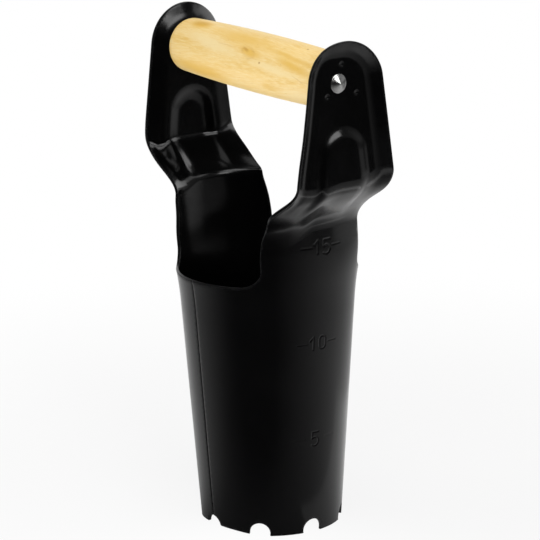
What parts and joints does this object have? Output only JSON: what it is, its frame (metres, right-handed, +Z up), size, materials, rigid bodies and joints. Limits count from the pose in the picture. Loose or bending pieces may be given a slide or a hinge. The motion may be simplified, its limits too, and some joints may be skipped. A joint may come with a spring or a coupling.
{
  "type": "bulb planter",
  "caption": "Hand bulb planter: a tapered, toothed steel tube with an open seam, whose ears carry a turned wooden cross handle; takes a plug of soil out of the ground.",
  "frame": {"origin": "on the tube's axis, in the plane of the cutting edge that the tool stands on", "axes": "+Z up the tube to the handle, +X along the handle towards the ear above the depth scale, -Y towards the seam"},
  "size_m": [0.1384, 0.0913, 0.255],
  "materials": {
    "black_paint": "gloss",
    "pale_wood": "smooth turned, lightly lacquered",
    "bright_steel": "bright"
  },
  "bodies": {
    "root": {"blade": "black_paint", "handle": "pale_wood", "handle_rivet": "bright_steel"}
  },
  "joints": []
}
